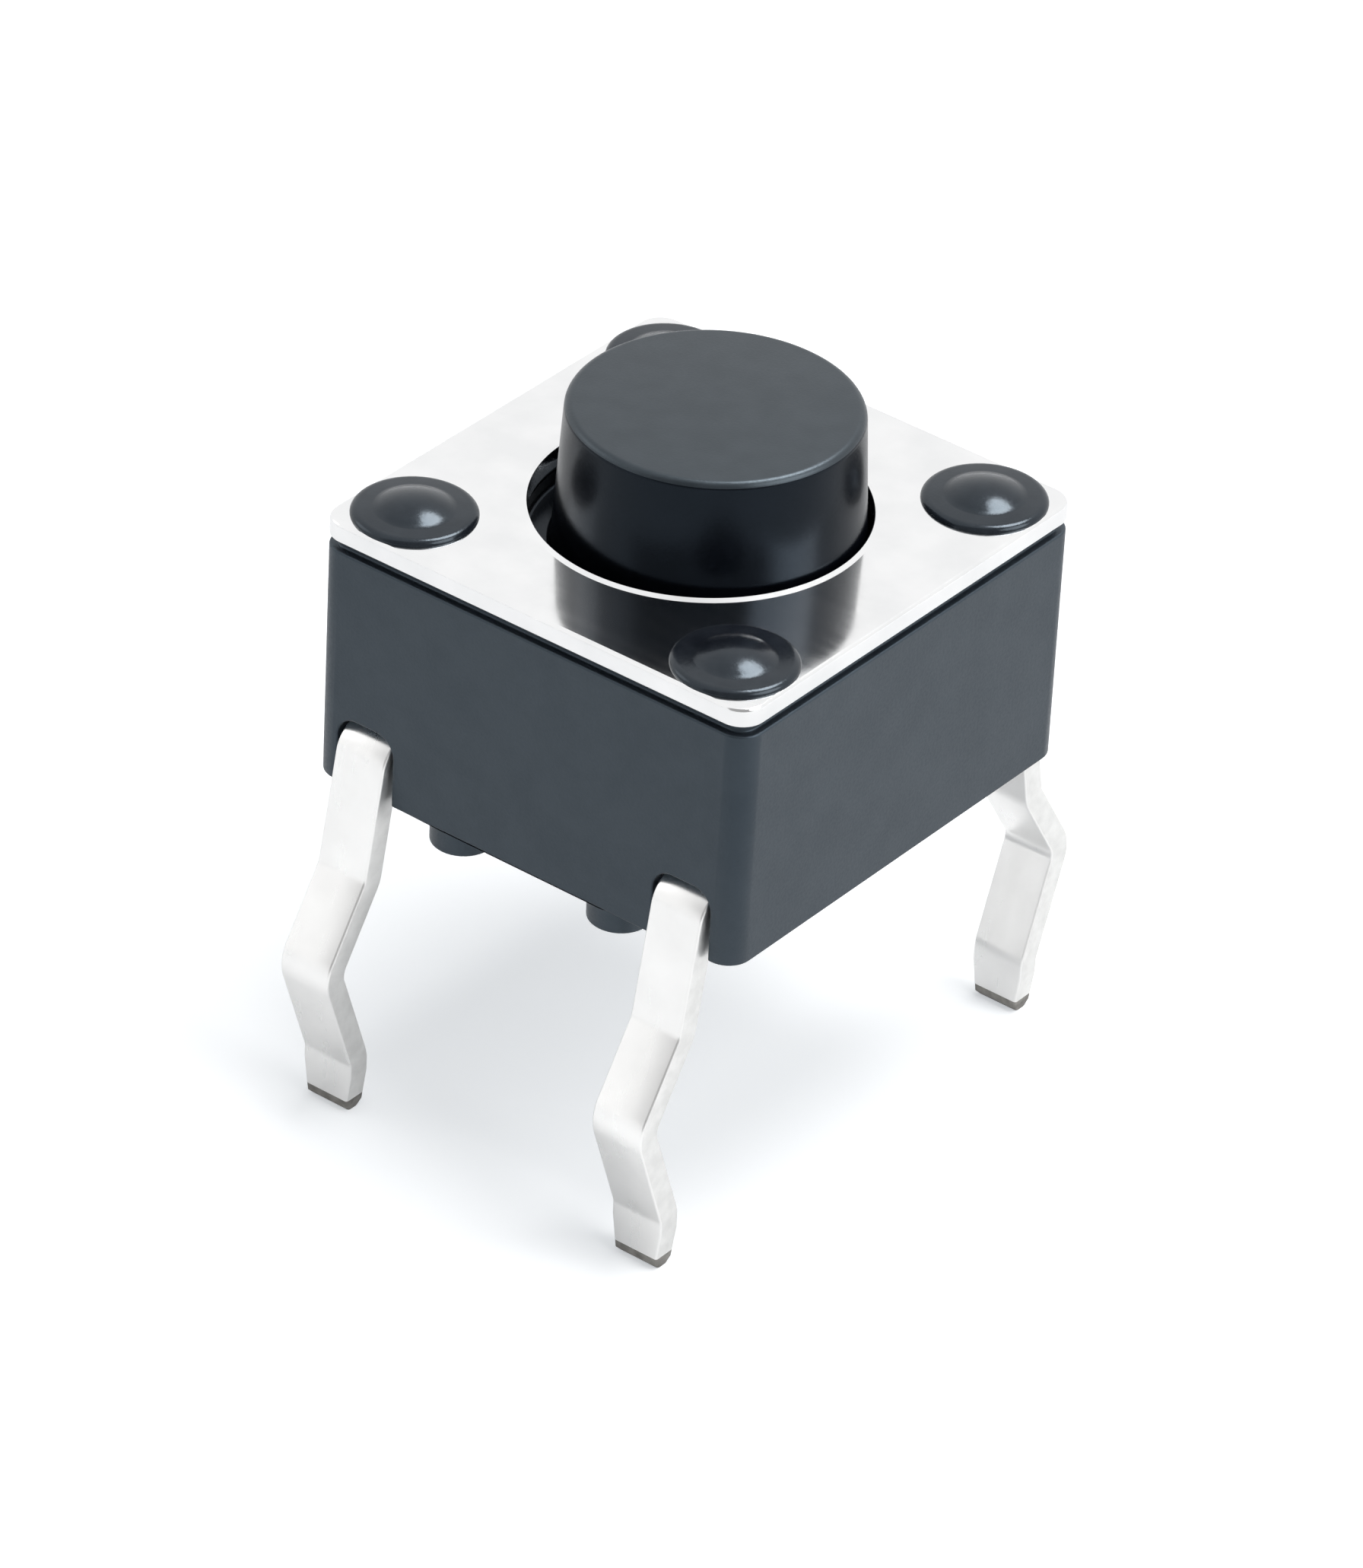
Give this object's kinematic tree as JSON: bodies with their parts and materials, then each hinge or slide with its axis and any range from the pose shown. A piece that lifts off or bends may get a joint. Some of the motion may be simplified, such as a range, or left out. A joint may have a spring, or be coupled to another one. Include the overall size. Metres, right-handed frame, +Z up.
{
  "type": "tactile push button switch",
  "caption": "Square momentary tactile switch: black moulded base, staked steel cover plate, round black button and kinked through-hole legs.",
  "frame": {"origin": "on the circuit board's top face, midway between the four legs, where the standoffs stand", "axes": "+Z up out of the board along the button's travel, +Y and -Y towards the faces that the legs leave by, +X along the short pitch of the legs"},
  "size_m": [0.006, 0.008, 0.0087],
  "materials": {
    "base": "moulded, fine satin",
    "cover_plate": "bright rolled steel sheet",
    "plunger": "moulded, fine satin",
    "snap_dome": "bright spring steel",
    "terminals": "silver plated"
  },
  "bodies": {
    "housing": {"base": "base", "cover_plate": "cover_plate", "snap_dome": "snap_dome", "centre_contact": "terminals", "outer_contact": "terminals"},
    "button": {"plunger": "plunger"}
  },
  "joints": [
    {"name": "button_press", "type": "slide", "parent": "housing", "child": "button", "axis": [0, 0, -1], "range_m": [0, 0.00025], "stiffness_N_per_m": 6280, "deforming": ["snap_dome"]}
  ]
}
